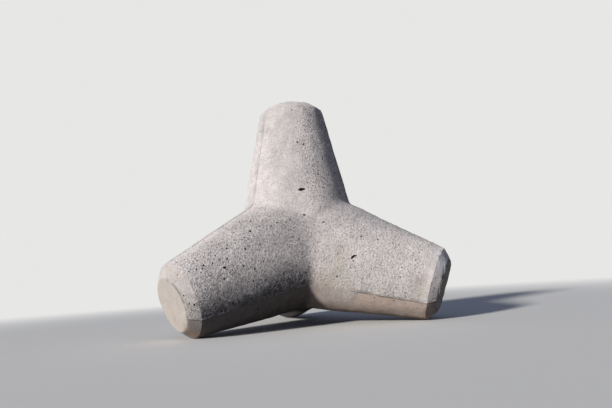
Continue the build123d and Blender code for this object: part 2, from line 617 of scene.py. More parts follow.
# %% Outline
def bent(along_squared, bend, size):
    """Shift across a hole: the bend times (the squared place along it by its size, less it)."""
    return bend * (along_squared / size[:, None] - size[:, None])


def ellipse_radius(turned, stretch):
    """Radius of an ellipse: one by the root of (cosine by stretch) and (sine times it) squared."""
    return 1 / np.hypot(np.cos(turned) / stretch, np.sin(turned) * stretch)


def hole_outline(grid, leg, corner, span, middle, directions, size, stretch, lean, bend):
    """Turn and radius of the rim of each hole, for every step round its block of cells.

    Formula: the turn is the one in which the edge of the block is seen from the middle of
    the hole, so no face between the two can fold over. The radius is that of the ellipse,
    times the size and a little unevenness, which swings two and three times a turn.
    """
    row_path, column_path = square_path(span)
    edge = on_grid(grid, leg[:, None], corner[:, :1] + row_path, corner[:, 1:] + column_path)
    spokes = edge - on_grid(grid, leg, middle[:, 0], middle[:, 1])[:, None]
    east = (spokes * directions[0][:, None]).sum(-1)
    north = (spokes * directions[1][:, None]).sum(-1)
    cosine, sine = np.cos(lean)[:, None], np.sin(lean)[:, None]
    along_hole, across_hole = east * cosine + north * sine, north * cosine - east * sine
    inside = np.minimum(along_hole**2, (stretch * size)[:, None] ** 2)
    turned = np.arctan2(across_hole - bent(inside, bend, size), along_hole)
    direction = turned + lean[:, None]
    uneven = 1 + 0.10 * np.cos(2 * direction + chance.uniform(0, 2 * pi, (len(leg), 1)))
    uneven += 0.08 * np.cos(3 * direction + chance.uniform(0, 2 * pi, (len(leg), 1)))
    return turned, size[:, None] * ellipse_radius(turned, stretch[:, None]) * uneven


print("an ellipse stretched by 2 reaches", ellipse_radius(0.0, 2.0), "instead of 1")

# %% [markdown]
# ## The outline on the grid
# Rows and columns run askew near a crease, so the outline is drawn in metres beside the skin,
# and the place of each of its points on the grid is looked for. Newton's method steps there:
# it measures how far one row and one column carry, and goes as many of them as are missing.

# %% Outline on the grid
NEWTON_STEPS = 5


def ring_on_grid(grid, leg, middle, directions, outline, turned, lean, bend, size):
    """Row and column of the points of a ring round the middle of a hole.

    Formula: the outline is measured along the hole and across it, and the bend shifts it
    across by the square of the place along it. That gives targets beside the skin. What is
    missing to a target is split into a part along the rows and a part along the columns,
    whose lengths are measured over half a cell.
    """
    along_hole = outline * np.cos(turned)
    across_hole = outline * np.sin(turned) + bent(along_hole**2, bend, size)
    cosine, sine = np.cos(lean)[:, None], np.sin(lean)[:, None]
    round_leg = (along_hole * cosine - across_hole * sine)[..., None]
    outwards = (along_hole * sine + across_hole * cosine)[..., None]
    targets = on_grid(grid, leg, middle[:, 0], middle[:, 1])[:, None]
    targets = targets + round_leg * directions[0][:, None]
    targets = targets + outwards * directions[1][:, None]

    def at(row, column):
        """Points of the grid there."""
        return on_grid(grid, leg[:, None], row, column)

    row = middle[:, :1] + 0 * along_hole
    column = middle[:, 1:] + 0 * along_hole
    for _ in range(NEWTON_STEPS):
        by_row = 2 * (at(row + 0.25, column) - at(row - 0.25, column))
        by_column = 2 * (at(row, column + 0.25) - at(row, column - 0.25))
        missing = targets - at(row, column)
        rows, columns = (by_row**2).sum(-1), (by_column**2).sum(-1)
        skew = (by_row * by_column).sum(-1)
        in_rows, in_columns = (missing * by_row).sum(-1), (missing * by_column).sum(-1)
        row = row + (in_rows * columns - in_columns * skew) / (rows * columns - skew**2)
        column = column + (in_columns * rows - in_rows * skew) / (rows * columns - skew**2)
    return row, column


print("steps to the place on the grid:", NEWTON_STEPS)

# %% [markdown]
# ## The faces of a hole
# Between the square edge of the block and the round rim lie triangles, three for each cell
# along the edge. Inside the rim lie rings of four-cornered faces, and the innermost ring
# closes to a point. Five lists gather what all the holes add to the mesh.

# %% Sink holes
new_points, new_depths, new_quads, rim_triangles, inner_triangles = [], [], [], [], []
next_point = len(skin)
chance = np.random.default_rng(7)


def add_points(places, sunk):
    """Put new points on the list, with their share of the depth, and return their numbers."""
    global next_point
    numbers = next_point + np.arange(places[..., 0].size).reshape(places.shape[:-1])
    next_point += numbers.size
    new_points.append(places.reshape(-1, 3))
    new_depths.append(np.full(numbers.size, sunk))
    return numbers


def faces_between(*corners):
    """Faces from arrays that each hold one corner of every face."""
    return np.stack(corners, axis=2).reshape(-1, len(corners))


def sink_holes(index, leg, corner, span, middle, size, depth, stretch, lean, rings, bend=0.0):
    """Set the pattern of a hole into each given block of cells.

    Formula: each ring has its share of the rim's radius, and lies its share of the depth
    under the skin. The deepest point is the mean of the last ring.
    """
    grid = skin[index]
    directions = skin_directions(grid, leg, corner[:, 0], corner[:, 1], span)
    turned, outline = hole_outline(
        grid, leg, corner, span, middle, directions, size, stretch, lean, bend)
    row_path, column_path = [path[::2].astype(int) for path in square_path(span)]
    previous = index[leg[:, None], corner[:, :1] + row_path, corner[:, 1:] + column_path]
    for share, sunk in rings:
        row, column = ring_on_grid(
            grid, leg, middle, directions, outline * share, turned, lean, bend, size)
        inwards = directions[2][:, None] * (depth[:, None] * sunk)[..., None]
        ring = on_grid(grid, leg[:, None], row, column) - inwards
        numbers = add_points(ring, sunk)
        behind, following = np.roll(previous, -1, axis=1), np.roll(numbers, -1, axis=1)
        if previous.shape == numbers.shape:
            new_quads.append(faces_between(previous, behind, following, numbers))
        else:
            opposite = numbers[:, 1::2]
            rim_triangles.append(faces_between(previous, behind, opposite))
            rim_triangles.append(faces_between(previous, opposite, numbers[:, ::2]))
            rim_triangles.append(faces_between(behind, following[:, 1::2], opposite))
        previous = numbers
    deepest = np.repeat(add_points(ring.mean(1), 1.0)[:, None], previous.shape[1], axis=1)
    inner_triangles.append(faces_between(previous, np.roll(previous, -1, axis=1), deepest))


print("the first hole's points start at number", next_point)

# %% [markdown]
# ## The large holes
# A few holes are so large that they catch the eye in the photograph. Each has a name, its
# pixel, its length and width in pixels, the tilt of its long side and its bend. Two more
# rays, one pixel along and one pixel across, measure how large that is on the block, where a
# pixel is 7 to 15 mm.

# %% Holes seen in the photograph
SEEN_HOLES = {
    # pixel from the left and from the top, length and width in pixels, tilt in degrees, bend
    "under_the_upright_leg": (303.6, 187.6, 8.0, 3.0, -11, 0.0),
    "in_the_junction": (306, 217, 3.0, 2.2, -40, 0.0),
    "hooked_on_the_right": (354.0, 257.0, 6.3, 2.5, 32, -0.20),
    "left_leg_high": (251, 231, 2.6, 2.2, 0, 0.0),
    "left_leg_crest": (227, 247, 2.6, 1.8, 20, 0.0),
    "left_leg_middle": (246, 248, 2.8, 2.4, 0, 0.0),
    "left_leg_shoulder": (202, 265, 2.4, 2.2, 0, 0.0),
    "left_leg_large": (223, 268, 3.4, 2.8, 0, 0.0),
    "left_leg_long": (254, 271, 3.4, 1.8, 80, 0.0),
    "left_leg_low": (223, 280, 2.6, 2.2, 0, 0.0),
    "left_leg_near_seam": (254, 282, 2.4, 2.0, 0, 0.0),
    "left_leg_under": (258.6, 309, 2.4, 1.7, 0, 0.0),
    "right_leg_middle": (402, 266, 1.8, 1.5, 0, 0.0),
    "right_leg_lower": (402, 276, 1.6, 1.4, 0, 0.0),
    "left_bevel_upper": (193, 304, 2.6, 2.0, 70, 0.0),
}
RIM_ROOM = 1.2             # room that a hole needs, in its own radius
FROM_CREASE = 0.1          # the least distance of a hole from the crease, in rows
DEEP_BY_WIDE = 1.3         # depth of a large hole, by its radius
DEEP_RINGS = ((1.0, 0.0), (0.86, 0.45), (0.62, 0.82), (0.30, 0.97))    # radius, depth
print("large holes:", len(SEEN_HOLES))

# %% [markdown]
# ## Room for the large holes
# Every hole gets the block of cells that it needs, with room round it. Its outline is laid on
# the grid first, a fifth larger than it will be, and the block is a square of cells that
# holds it. A hole beside the crease moves a little into its leg, and one that would run into
# another hole is left out and named.

# %% Sink the large holes
cell_middles = skin[side_cells].mean(3)
used = np.zeros(side_cells.shape[:3], bool)
FULL_TURN = np.linspace(0, 2 * pi, 48, endpoint=False)

for name, (x, y, length, width, tilt, bend) in SEEN_HOLES.items():
    place = seen_at(x, y)
    right, up = np.cos(np.radians(tilt)), np.sin(np.radians(tilt))
    lengthways = seen_at(x + right, y - up) - place
    half_length = length / 2 * np.linalg.norm(lengthways)
    half_width = width / 2 * np.linalg.norm(seen_at(x + up, y + right) - place)
    size = np.array([np.sqrt(half_length * half_width)])
    stretch = size / half_width

    nearest = np.linalg.norm(cell_middles - place, axis=-1).argmin()
    cell = [np.array([number]) for number in np.unravel_index(nearest, used.shape)]
    grid = skin[side_index]
    directions = skin_directions(grid, *cell, 1)
    lean = np.arctan2(directions[1] @ lengthways, directions[0] @ lengthways)
    turned = FULL_TURN - lean[:, None]
    outline = RIM_ROOM * size * ellipse_radius(turned, stretch)
    middle = np.array([[cell[1][0], cell[2][0]]]) + 0.5
    row, column = ring_on_grid(
        grid, cell[0], middle, directions, outline, turned, lean, bend, size)
    into_the_leg = max(FROM_CREASE - row.min(), 0)
    middle[:, 0] += into_the_leg
    row = row + into_the_leg

    span = int(np.ceil(max(np.ptp(row), np.ptp(column)))) + 1
    centre = np.array([row.min() + row.max(), column.min() + column.max()])
    corner = np.rint((centre - span) / 2).astype(int)
    corner = np.clip(corner, 0, [ROWS - span, COLUMNS - span])
    block = (cell[0][0], slice(corner[0], corner[0] + span), slice(corner[1], corner[1] + span))
    if used[block].any():
        print("no room for", name)
        continue
    used[block] = True
    sink_holes(
        side_index, cell[0], corner[None], span, middle, size, DEEP_BY_WIDE * size, stretch,
        lean, DEEP_RINGS, bend)
print("cells used by the large holes:", used.sum())

# %% [markdown]
# ## The small holes
# The small holes are not spread evenly. The shell under the block was at the bottom of the
# mould, where bubbles rise away, so its side is smooth. The upper sides of the lower legs
# lay under a sloping shell that held the bubbles, so they are the most pitted, the left one
# above all. On the upright leg's front the holes grow denser from left to right. A table says
# how many holes a square metre has on each leg and shell, soft patches crowd and thin them,
# and the area of a cell makes that its chance of a hole.

# %% How dense the small holes are
row_lengths = np.linalg.norm(skin[side_cells[..., 3]] - skin[side_cells[..., 0]], axis=-1)
column_lengths = np.linalg.norm(skin[side_cells[..., 1]] - skin[side_cells[..., 0]], axis=-1)
own_cell_leg = (cell_middles @ leg_axes.T).argmax(-1)
shell_of_cell = (cell_middles @ leg_axes.T).argmin(-1)
HOLES_PER_SQUARE_METRE = np.array([
    # shell opposite the top, back, left and right leg
    [0.0, 150.0, 330.0, 90.0],      # on the top leg
    [40.0, 0.0, 260.0, 300.0],      # on the back leg
    [40.0, 370.0, 0.0, 380.0],      # on the left leg
    [40.0, 75.0, 240.0, 0.0],       # on the right leg
])
CROWDING = 0.45
CROWD_SIZE = 0.22
density = HOLES_PER_SQUARE_METRE[own_cell_leg, shell_of_cell]
upright_front = (own_cell_leg == TOP) & (shell_of_cell == BACK)
denser_to_the_right = 0.3 + 1.2 * rise(cell_middles[..., 0], -0.10, 0.14)
density *= np.where(upright_front, denser_to_the_right, 1)
crowding = np.exp(CROWDING * patches(cell_middles.reshape(-1, 3), CROWD_SIZE, 41))
crowding = crowding.reshape(density.shape)
chance_of_hole = density * crowding * row_lengths * column_lengths
print("small holes to be expected:", round(chance_of_hole.sum()))

# %% [markdown]
# ## Sinking the small holes
# Where in its block a small hole lies, how deep it is, and how far and which way it is
# stretched is left to chance, but its rim always keeps off the edge of the block. All small
# holes of one width are made by one call.

# %% Holes left to chance
SMALL_RINGS = ((1.0, 0.0), (0.72, 0.75))
MOST_STRETCH = 1.15
RANDOM_ROOM = RIM_ROOM * MOST_STRETCH
ROOM_IN_CELLS = 0.49 / RANDOM_ROOM
LEAST_RADIUS = 0.0024
smaller_side = np.minimum(row_lengths, column_lengths)


def sink_at_random(chosen, span, size):
    """Sink a hole of the given size somewhere in each chosen block of cells.

    Formula: the middle of the hole lies off the middle of the block by a random share of the
    room, which is half the block less the radius with its room.
    """
    leg, row, column = np.nonzero(chosen)
    count = len(leg)
    room_rows = np.maximum(span / 2 - RANDOM_ROOM * size / row_lengths[chosen], 0)
    room_columns = np.maximum(span / 2 - RANDOM_ROOM * size / column_lengths[chosen], 0)
    middle = np.stack([
        row + span / 2 + chance.uniform(-1, 1, count) * room_rows,
        column + span / 2 + chance.uniform(-1, 1, count) * room_columns,
    ], axis=1)
    depth = size * chance.uniform(0.6, 1.3, count)
    stretch = chance.uniform(1.0, MOST_STRETCH, count)
    lean = chance.uniform(0, pi, count)
    corner = np.stack([row, column], axis=1)
    sink_holes(side_index, leg, corner, span, middle, size, depth, stretch, lean, SMALL_RINGS)
    print("holes in blocks of", span, "by", span, "cells:", count)


# %% [markdown]
# ## Wide ones and narrow ones
# A hole as wide as a thumb takes a block of two by two cells, a smaller one takes a single
# cell, and cells beside the seams are too narrow for one. The wide ones come first, on every
# second row and column, so that no two of their blocks share a cell.

# %% Small holes
SHARE_OF_WIDE = np.array([0.02, 0.10, 0.04, 0.02])    # on the top, back, left and right leg
LEAST_CELL = 0.010                                    # for a block with a wide hole
WIDE_RADIUS, WIDE_SPREAD = 0.0072, 0.25
SMALL_RADIUS, SMALL_SPREAD = 0.0040, 0.38
free = ~(used[:, :-1, :-1] | used[:, 1:, :-1] | used[:, :-1, 1:] | used[:, 1:, 1:])
free &= (np.arange(ROWS - 1)[:, None] % 2 == 0) & (np.arange(COLUMNS - 1) % 2 == 0)
wide_enough = smaller_side[:, :-1, :-1] > LEAST_CELL
chance_of_wide = 4 * SHARE_OF_WIDE[own_cell_leg] * chance_of_hole
chosen = (chance.random(free.shape) < chance_of_wide[:, :-1, :-1]) & free & wide_enough
chosen = np.pad(chosen, ((0, 0), (0, 1), (0, 1)))
for row_shift, column_shift in ((0, 0), (0, 1), (1, 0), (1, 1)):
    used |= np.roll(chosen, (row_shift, column_shift), axis=(1, 2))
wide_radius = WIDE_RADIUS * np.exp(WIDE_SPREAD * chance.normal(size=chosen.sum()))
wide_radius = np.minimum(wide_radius, 2 * ROOM_IN_CELLS * smaller_side[chosen])
sink_at_random(chosen, 2, wide_radius)

hole_radius = SMALL_RADIUS * np.exp(SMALL_SPREAD * chance.normal(size=density.shape))
hole_radius = np.minimum(hole_radius, ROOM_IN_CELLS * smaller_side)
chosen = chance.random(density.shape) < chance_of_hole
chosen &= ~used & (hole_radius > LEAST_RADIUS)
used |= chosen
sink_at_random(chosen, 1, hole_radius[chosen])

# %% [markdown]
# ## One mesh
# The cells that no hole has taken stay as they are. Together with the faces of the holes
# they form one closed surface. Points that no face uses any more are left out, and the
# others get new numbers. A face count says whether the mesh stays light enough, and a closed
# surface has every edge exactly twice.

# %% Put the mesh together
kept_cells = np.vstack([side_cells[~used], disc_cells.reshape(-1, 4)])
quads = np.vstack([kept_cells] + new_quads)
triangles = np.vstack(rim_triangles + inner_triangles)
points = np.vstack([skin] + new_points)
hollow = np.concatenate([np.zeros(len(skin))] + new_depths)
on_hole_rim = (hollow == 0) & (np.arange(len(points)) >= len(skin))
points = np.clip(points, cad_low, cad_high)

in_use = np.zeros(len(points), bool)
in_use[quads] = True
in_use[triangles] = True
renumbered = np.cumsum(in_use) - 1
quads, triangles = renumbered[quads], renumbered[triangles]
points, hollow, on_hole_rim = points[in_use], hollow[in_use], on_hole_rim[in_use]

edges = np.vstack([
    np.stack([quads, np.roll(quads, -1, axis=1)], axis=2).reshape(-1, 2),
    np.stack([triangles, np.roll(triangles, -1, axis=1)], axis=2).reshape(-1, 2),
])
_, edge_uses = np.unique(np.sort(edges, axis=1), axis=0, return_counts=True)
print("points:", len(points), " triangles:", 2 * len(quads) + len(triangles))
print("edges that are not shared by two faces:", int((edge_uses != 2).sum()))

# %% [markdown]
# ## Smooth skin, sharp holes
# The skin shades smooth, because on a curved surface of flat cells every edge would show.
# The faces inside a hole shade flat. The edges of its rim are marked sharp as well: without
# that the dark of the hole would spread over the skin round it, and the rim would look soft.
# A bubble in concrete leaves it sharp.

# %% The casting
casting_mesh = bpy.data.meshes.new("tetrapod_casting")
casting_mesh.from_pydata(points.tolist(), [], quads.tolist() + triangles.tolist())
inner_faces = sum(len(faces) for faces in inner_triangles)
shades_smooth = np.ones(len(quads) + len(triangles), bool)
shades_smooth[len(kept_cells):len(quads)] = False
shades_smooth[len(shades_smooth) - inner_faces:] = False
casting_mesh.polygons.foreach_set("use_smooth", shades_smooth)
edge_ends = np.empty(2 * len(casting_mesh.edges), np.int32)
casting_mesh.edges.foreach_get("vertices", edge_ends)
is_rim = on_hole_rim[edge_ends.reshape(-1, 2)].all(1)
casting_mesh.edges.foreach_set("use_edge_sharp", is_rim)
casting = bpy.data.objects.new("tetrapod_casting", casting_mesh)
bpy.context.scene.collection.objects.link(casting)
print("sharp edges round the holes:", int(is_rim.sum()))

# %% [markdown]
# ## Where the finish changes
# The finish of the block isn't the same all over. Each shell of the mould left its own
# skin, so the tone changes at the seams, and each leg has its own weather side. An artist
# would paint that by hand. Here each kind of finish is a number at every point of the mesh,
# worked out from where the point is, and the material reads these numbers as attributes.
# Some of these numbers paint light and shade into the colour. First come words for where a
# point is: how much it belongs to each leg, which shell it touched, how far out it lies, and
# whether it is on a disc or on a bevel.

# %% Places on the block
along = points @ leg_axes.T
distance = np.linalg.norm(points, axis=1, keepdims=True)
leg_share = np.exp(along / distance * 35)
leg_share /= leg_share.sum(1, keepdims=True)
on_top, on_left, on_right = leg_share[:, TOP], leg_share[:, LEFT], leg_share[:, RIGHT]
shell = along.argmin(1)
left_front, right_front = on_left * (shell == BACK), on_right * (shell == BACK)

reach_out = along.max(1)
on_disc = rise(reach_out, LEG_REACH - 0.012, LEG_REACH - 0.004)
off_disc = 1 - on_disc
on_bevel = rise(reach_out, shoulder_reach - 0.014, shoulder_reach + 0.002) * off_disc
beside_shoulder = bell(reach_out - shoulder_reach, 0.055) * (1 - on_bevel) * off_disc
above_seam = along[:, TOP] - along[:, BACK]      # how far above the front legs' lower seams


def near(place, size):
    """One at a place, falling off round it: e to the minus squared distance by size."""
    return np.exp(-(((points - place) / size) ** 2).sum(1))


print("points on the discs:", int(on_disc.sum()), " on the bevels:", int(on_bevel.sum()))

# %% [markdown]
# ## Tone
# Each shell of the mould left a skin of its own tone, some lighter, some darker. A table
# gives each shell of each leg its lightness, from nought for the darkest paste to one for the
# palest. Then single places change: the upright leg's front is painted lighter towards its
# right edge, a painted light where the lamp only grazes it, the strip round that edge is
# painted darker as painted shade, and a pale line runs along the top of the left leg.

# %% Lightness
LIGHTNESS = np.array([
    # shell opposite the top, back, left and right leg
    [0.55, 0.76, 0.60, 0.69],       # on the top leg
    [0.42, 0.57, 0.58, 0.58],       # on the back leg
    [0.50, 0.76, 0.57, 0.61],       # on the left leg
    [0.74, 0.81, 0.60, 0.56],       # on the right leg
])
# the right leg's bevel is at full lightness, a painted light on a bevel that faces away from the
# lamp
LIGHTNESS_OF_BEVEL = np.array([0.68, 0.60, 0.66, 1.0])
# painted shade: the right leg's disc is nearly black
LIGHTNESS_OF_DISC = np.array([0.60, 0.60, 0.65, 0.12])
towards_right = on_top * (shell == BACK) * rise(points[:, 0], -0.06, 0.16)
round_the_edge = 1 - rise(along[:, BACK] - along[:, LEFT], 0.16, 0.42)
shaded_strip = on_top * (shell == LEFT) * round_the_edge
from_crest = along[:, BACK] - along[:, RIGHT]
crest = on_left * bell(from_crest, 0.12) * rise(above_seam, 0.2, 0.4)

# painted light: the upright leg's front is lighter towards its right edge, where the lamp only
# grazes it
lightness = (leg_share * LIGHTNESS[:, shell].T).sum(1) + 0.25 * towards_right
# painted shade: the top of the right leg is darker, where the low lamp lights it less
lightness -= 0.12 * on_right * rise(points[:, 2], -0.10, 0.15)
# painted shade on the strip round the upright leg's right edge
lightness -= 0.24 * shaded_strip
lightness += on_bevel * (leg_share @ LIGHTNESS_OF_BEVEL - lightness)
lightness += on_disc * (leg_share @ LIGHTNESS_OF_DISC - lightness)
lightness += 0.03 * crest - 0.10 * left_front * rise(above_seam, 0.40, 0.58) * (1 - crest)
lightness += 0.06 * beside_shoulder * on_right
print("lightness from", round(lightness.min(), 2), "to", round(lightness.max(), 2))

# %% [markdown]
# ## Damp, painted shade and tan
# The underside of the left leg is damp, and the dark brown painted on it is also painted
# shade. It ends at the seam and reaches a little above it near the junction, where it is
# painted shade. Above that seam lies a belt of painted blue-grey shade that clots round the
# pits, and a weaker one on the upright leg's shaded strip. The underside of the right leg is
# a warm tan that also ends at the seam. Where the seam is worn away there, the tan fades out
# softly, which a wider blur of its edge gives. The disc of the right leg is painted dark, as
# painted shade.

# %% Damp, painted shade and tan
front_legs_least = np.minimum(along[:, LEFT], along[:, RIGHT])
between_front_legs = front_legs_least >= np.maximum(along[:, TOP], along[:, BACK])
under = rise(-along[:, TOP] / distance[:, 0], 0.45, 0.75)
before_seam = 1 - rise(reach_out, WORN_AWAY_TO - 0.06, WORN_AWAY_TO + 0.02)
band_blur = 0.001 + 0.30 * on_right * before_seam
below_seam = rise((along[:, BACK] - along[:, TOP]) / band_blur, -0.7, 1.5)
below_seam = np.where(between_front_legs, below_seam, shell == TOP)

# the dark underside of the left leg is damp, and also painted shade
damp_and_shade = below_seam * (0.75 + 0.25 * under) * (1 - on_right) * off_disc
damp_and_shade *= 1 - 0.3 * on_bevel
# painted shade just above the left leg's seam near the junction
just_above = left_front * (1 - rise(above_seam, 0.0, 0.12)) * (1 - rise(reach_out, 0.80, 1.02))
damp_and_shade = np.maximum(damp_and_shade, 0.75 * just_above)
# painted shade on the right leg's disc
damp_and_shade += 0.55 * on_disc * on_right
# painted blue-grey shade above the left leg's lower seam, strongest near the junction, and on the
# upright leg's shaded strip
painted_blue_shade = left_front * (1 - rise(above_seam, 0.05, 0.34)) * off_disc * (1 - on_bevel)
blue_shade_patches = np.clip(0.95 + 0.2 * patches(points, 0.10, 57), 0, 1)
painted_blue_shade *= blue_shade_patches * (1 - 0.20 * rise(reach_out, 0.50, 0.90))
painted_blue_shade += 0.7 * shaded_strip * off_disc
tan_band = below_seam * on_right * off_disc
print("share of points that are damp:", round(damp_and_shade.mean(), 3), " tan:", round(tan_band.mean(), 3))

# %% [markdown]
# ## Pits
# Pits are too small for the mesh, so the material makes them. How many there are is one more
# table by leg and shell. The left leg has fewer of them high up, where its large holes are,
# and more just above its lower seam. Bevels are smoother, and the discs and the tan band have
# hardly any. One pitted spot on the left bevel is placed by its pixel.

# %% Pits
PITTING = np.array([
    # shell opposite the top, back, left and right leg
    [0.3, 0.30, 0.9, 0.2],          # on the top leg
    [0.2, 0.6, 0.7, 0.8],           # on the back leg
    [0.4, 1.0, 0.7, 0.8],           # on the left leg
    [0.55, 0.55, 0.5, 0.3],         # on the right leg
])
PITTED_SPOT_PIXEL = (196, 308)
PITTED_SPOT_SIZE = 0.035
low_on_left = left_front * (1 - rise(above_seam, 0.12, 0.37)) * off_disc
pitted = (leg_share * PITTING[:, shell].T).sum(1)
pitted += 0.6 * towards_right
pitted -= left_front * (0.25 + 0.15 * rise(above_seam, 0.30, 0.58)) - 0.30 * low_on_left
pitted *= 1 - 0.4 * crest
pitted *= 1 - 0.55 * on_bevel - on_disc
pitted *= 1 - beside_shoulder * (0.75 * on_right + 0.2 * on_left)
pitted += 0.8 * near(seen_at(*PITTED_SPOT_PIXEL), PITTED_SPOT_SIZE)
pitted *= 1 - 0.9 * tan_band
print("mean share of pits:", round(pitted.mean(), 2))

# %% [markdown]
# ## Dirt beside the seams
# Water runs down to a seam and leaves its dirt in the corners on both sides of the ridge. The
# columns know where that is: the dirt is a function of the column, as the ridge itself is,
# and patches break it up. Where the seam is worn away there is no dirt either.

# %% Dirt beside the seams
DIRT_BY_COLUMN = (0.0, 0.25, 1.0, 0.5, 0.0)      # from a seam's middle sideways


def kept_values(values):
    """Values of the skin's points with nought for the holes' points, less the unused ones."""
    new_point_count = len(in_use) - len(skin)
    return np.concatenate([values, np.zeros((new_point_count,) + values.shape[1:])])[in_use]


beside_seam = np.zeros(len(skin))
beside_seam[side_index[:, :ridge_rows]] = np.interp(
    columns_from_seam, np.arange(len(DIRT_BY_COLUMN)), DIRT_BY_COLUMN)
towards_end = rise(own_reach, shoulder_reach, LEG_REACH)
beside_seam *= rise(patches(skin, 0.09, 53), -1.2, 0.6) * (1 - 0.7 * towards_end)
beside_seam *= 1 - bare
seam_dirt = kept_values(beside_seam) * (1 - 0.5 * on_top)
print("points with dirt beside a seam:", int((seam_dirt > 0.1).sum()))

# %% [markdown]
# ## Stains
# Rust and earth left single stains, and at the end of the right leg there are fine cracks.
# A pale blue-white on its bevel is painted light, where the sky lights it. Each is a soft
# spot that is placed by its pixel in the photograph, with its size on the block in metres and
# its strength. A colour's spots are added up, and patches make their edges ragged.

# %% Stains
STAINS = {
    # pixel from the left and from the top, size in metres, strength
    "orange": (
        (318, 290, 0.030, 0.45), (320, 280, 0.060, 0.20), (189, 332, 0.045, 0.55),
        (196, 335, 0.040, 0.45), (170, 310, 0.050, 0.14), (176, 322, 0.050, 0.14)),
    "beige": (
        (338, 251, 0.045, 0.40), (337, 262, 0.050, 0.45), (336, 272, 0.045, 0.35),
        (349, 246, 0.045, 0.35), (326, 281, 0.070, 0.50), (342, 287, 0.060, 0.40),
        (420, 292, 0.060, 0.35), (395, 240, 0.090, 0.30)),
    "brown": (
        (192, 331, 0.060, 0.55), (342, 251, 0.050, 0.25), (419, 280, 0.045, 0.40),
        (322, 290, 0.080, 0.20)),
    "crack": (
        (439.3, 256.5, 0.013, 1.0), (441.5, 251.5, 0.010, 0.7), (445, 256, 0.012, 0.9),
        (434.3, 290, 0.012, 0.5), (438.5, 292.5, 0.013, 0.6), (442.5, 279, 0.014, 0.9)),
    # painted light: pale blue-white on the right bevel, where the sky lights it
    "painted_sky_light": ((440.5, 254.5, 0.030, 0.9), (442.5, 261, 0.036, 1.0), (442, 269, 0.034, 0.9)),
}
ragged = 0.85 + 0.25 * patches(points, 0.04, 51)
stains = {
    colour: sum(near(seen_at(x, y), size) * strength for x, y, size, strength in spots) * ragged
    for colour, spots in STAINS.items()
}
# painted shade: the right leg's disc is darkened brown
stains["brown"] += 0.15 * on_disc * on_right

cream = on_disc * (0.7 - 0.7 * on_right)
cream += on_bevel * on_left * (0.2 + 0.5 * rise(above_seam, 0.25, 0.55))
cream += 0.20 * right_front * (1 - rise(points[:, 2], -0.25, 0.05)) * off_disc
cream += stains["beige"]
print("stains:", ", ".join(f"{colour} {values.max():.2f}" for colour, values in stains.items()))

# %% [markdown]
# ## Rims and broken edges
# The rim round a disc is a fine dark line where it holds dirt, as on the upper part of the
# left disc, or where it is cracked, as on the right one. A line that fine is as wide as one
# row of the grid, so it is put on the rows of the rim themselves. Broken edges show fresh
# grey concrete. They follow the same patches as the chips in the mesh, so colour and shape
# fall together.

# %% Rims and broken edges
RIM_WEAR = np.array([0.3, 0.5, -0.6, 1.0])              # on the top, back, left, right leg
LEFT_RIM_PIXELS = ((173, 286), (179, 299), (184, 312))
rim_rows = np.zeros((len(skin), 4))
for leg in (LEFT, RIGHT):
    rim_rows[side_index[leg, ridge_rows:], leg] = 1
rim_rows[side_index[RIGHT, ridge_rows - 1], RIGHT] = 0.7
rim_rows = kept_values(rim_rows)
left_rim = rim_rows[:, LEFT] * rise(patches(points, 0.05, 55), -1.2, 0.3)
left_rim *= sum(near(seen_at(x, y), 0.085) for x, y in LEFT_RIM_PIXELS)
seam_dirt = np.maximum(seam_dirt, left_rim)
right_rim = rim_rows[:, RIGHT] * rise(patches(points, 0.035, 56), -0.9, 0.5)
right_rim *= rise(points[:, 2], -0.52, -0.44)
stains["crack"] = np.maximum(stains["crack"], 0.95 * right_rim)

axis_distance = np.sqrt(np.maximum(distance[:, 0] ** 2 - reach_out**2, 0))
to_rim = np.hypot(reach_out - LEG_REACH, axis_distance - END_RADIUS)
broken = bell(to_rim, 0.006 + 0.016 * on_right)
broken *= rise(patches(points, CHIP_SIZE, 31) + 2.2 * (leg_share @ RIM_WEAR), 0.4, 1.6)
broken *= 1 - 0.2 * on_disc - 0.3 * on_disc * on_right
print("share of points on broken edges:", round((broken > 0.2).mean(), 4))

# %% [markdown]
# ## Finish maps on the mesh
# Each kind of finish becomes an attribute of the mesh, one number for each point, held
# between nought and one. Attributes belong to the surface, so the finish stays in place
# however the block is turned.

# %% Keep the maps
finish_maps = {
    "hollow": hollow, "lightness": lightness, "pitted": pitted, "damp_and_shade": damp_and_shade,
    "tan_band": tan_band, "cream": cream, "painted_blue_shade": painted_blue_shade, "seam_dirt": seam_dirt,
    "orange_stain": stains["orange"], "brown_stain_and_shade": stains["brown"],
    "crack": stains["crack"], "painted_sky_light": stains["painted_sky_light"], "broken": broken,
}
for name, values in finish_maps.items():
    layer = casting_mesh.attributes.new(name, "FLOAT", "POINT")
    layer.data.foreach_set("value", np.clip(values, 0, 1).astype(np.float32))
print("finish maps:", len(finish_maps))

# %% [markdown]
# ## Concrete
# Old concrete isn't one grey. Cement paste, sand and salt make it mottled at every size,
# from patches as large as a hand to single grains, and dirt and painted shade darken its
# pores. The material builds that up in layers, from the broad tone to the finest grain. All
# patterns are procedural and read Object coordinates, which are metres on the block itself,
# so they have their true size and don't stretch. Nodes can be set up by hand in the Shader
# Editor. A helper that adds a node and links its inputs keeps that to one line for each.

# %% Nodes
def empty_tree(owner):
    """The node tree of a material or a world, without the nodes that it starts with."""
    owner.use_nodes = True
    owner.node_tree.nodes.clear()
    return owner.node_tree


def add_node(kind, inputs, **settings):
    """Add a shader node. An input that is given as a socket is linked, any other value is set."""
    new = tree.nodes.new(kind)
    for setting, value in settings.items():
        setattr(new, setting, value)
    for socket, value in inputs.items():
        if isinstance(value, bpy.types.NodeSocket):
            tree.links.new(value, new.inputs[socket])
        else:
            new.inputs[socket].default_value = value
    return new


